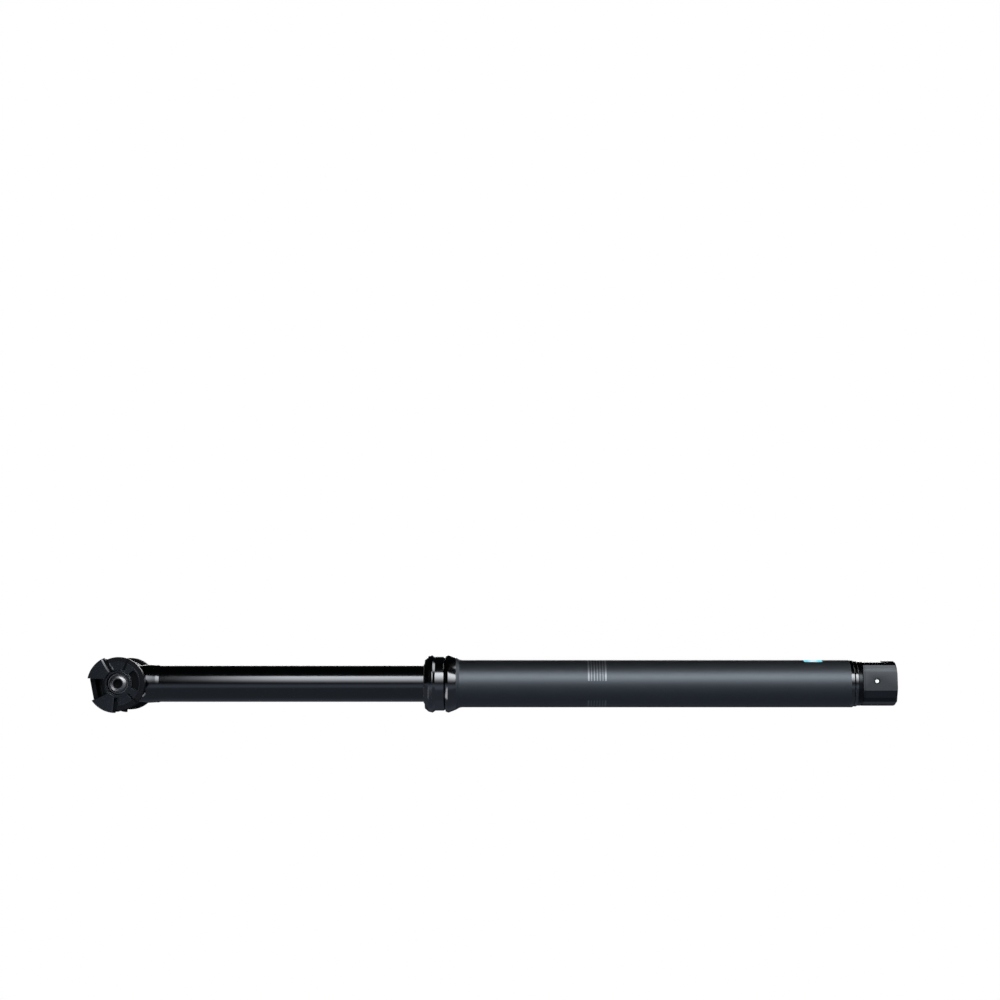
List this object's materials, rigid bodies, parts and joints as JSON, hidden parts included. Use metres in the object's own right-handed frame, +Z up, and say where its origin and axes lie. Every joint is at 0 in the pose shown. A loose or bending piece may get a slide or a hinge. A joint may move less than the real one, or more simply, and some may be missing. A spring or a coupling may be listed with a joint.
{
  "type": "dropper seatpost",
  "caption": "Bicycle seatpost whose upper tube slides down into the mast on a gas cartridge, with a side-clamping saddle head and a cable actuator in its foot.",
  "frame": {"origin": "on the post's axis at the underside of the flared collar, where the straight mast begins", "axes": "+Z up along the post's axis towards the saddle, +X forward, +Y towards the side with the clamp bolt's head"},
  "size_m": [0.0388, 0.0588, 0.5377],
  "materials": {
    "matte_black": "matte anodised",
    "gloss_black": "gloss anodised",
    "jaw_black": "satin anodised",
    "foot_black": "satin anodised",
    "black_steel": "black oxide",
    "steel": "ground",
    "bare_aluminium": "turned",
    "brass": "drawn",
    "rubber": "moulded",
    "bush_plastic": "moulded"
  },
  "bodies": {
    "mast": {"mast_tube": "matte_black", "collar_nut": "gloss_black", "wiper_seal": "rubber", "collar_seal_ring": "rubber", "upper_bush": "bush_plastic", "top_out_bumper": "rubber", "bottom_out_bumper": "rubber", "end_ring": "gloss_black", "foot_housing": "foot_black", "cable_stop": "foot_black", "lever_pivot_pin": "steel", "cartridge_rod": "steel", "cartridge_piston": "bare_aluminium", "piston_ring": "rubber"},
    "stanchion": {"stanchion_tube": "gloss_black", "lower_bush": "bush_plastic", "anti_rotation_keys": "brass", "post_head": "gloss_black", "cartridge_tube": "bare_aluminium", "cartridge_seal_head": "bare_aluminium", "cartridge_cap": "bare_aluminium", "gas_valve": "steel"},
    "float": {"floating_piston": "bare_aluminium", "floating_ring": "rubber"},
    "cradle": {"inner_jaw_right": "jaw_black", "inner_jaw_left": "jaw_black"},
    "jaw_right": {"outer_jaw_right": "jaw_black", "bolt_washer": "black_steel"},
    "jaw_left": {"outer_jaw_left": "jaw_black", "clamp_nut": "black_steel", "nut_washer": "black_steel"},
    "bolt": {"clamp_bolt": "black_steel"},
    "lever": {"actuator_lever": "steel", "cable_barrel": "brass", "barrel_screw": "steel"},
    "release": {"release_pin": "steel"}
  },
  "joints": [
    {"name": "post_slide", "type": "slide", "parent": "mast", "child": "stanchion", "axis": [0, 0, -1], "range_m": [0, 0.17], "stiffness_N_per_m": 150, "springref_m": -0.4},
    {"name": "float_slide", "type": "slide", "parent": "stanchion", "child": "float", "axis": [0, 0, 1], "range_m": [0, 0.0426]},
    {"name": "saddle_tilt", "type": "hinge", "parent": "stanchion", "child": "cradle", "pos_m": [0, 0, 0.2264], "axis": [0, 1, 0], "range_deg": [-26.5, 3.5]},
    {"name": "jaw_right_slide", "type": "slide", "parent": "cradle", "child": "jaw_right", "axis": [0, 1, 0], "range_m": [0, 0.0025]},
    {"name": "jaw_left_slide", "type": "slide", "parent": "cradle", "child": "jaw_left", "axis": [0, -1, 0], "range_m": [0, 0.00251]},
    {"name": "bolt_turn", "type": "hinge", "parent": "jaw_right", "child": "bolt", "pos_m": [0, 0, 0.2264], "axis": [0, 1, 0], "range_deg": [0, 1440.5]},
    {"name": "lever_swing", "type": "hinge", "parent": "mast", "child": "lever", "pos_m": [0, 0, -0.2767], "axis": [-0.1305, 0.9914, 0], "range_deg": [0, 20], "stiffness_Nm_per_rad": 0.02, "springref_deg": -20.05},
    {"name": "pin_lift", "type": "slide", "parent": "mast", "child": "release", "axis": [0, 0, 1], "range_m": [0, 0.0014]}
  ],
  "couplings": [
    {"joint": "float_slide", "follows": "post_slide", "ratio": 0.25},
    {"joint": "jaw_left_slide", "follows": "jaw_right_slide", "ratio": 1},
    {"joint": "bolt_turn", "follows": "jaw_right_slide", "rad_per_m": 10053},
    {"joint": "pin_lift", "follows": "lever_swing", "m_per_rad": 0.004}
  ]
}
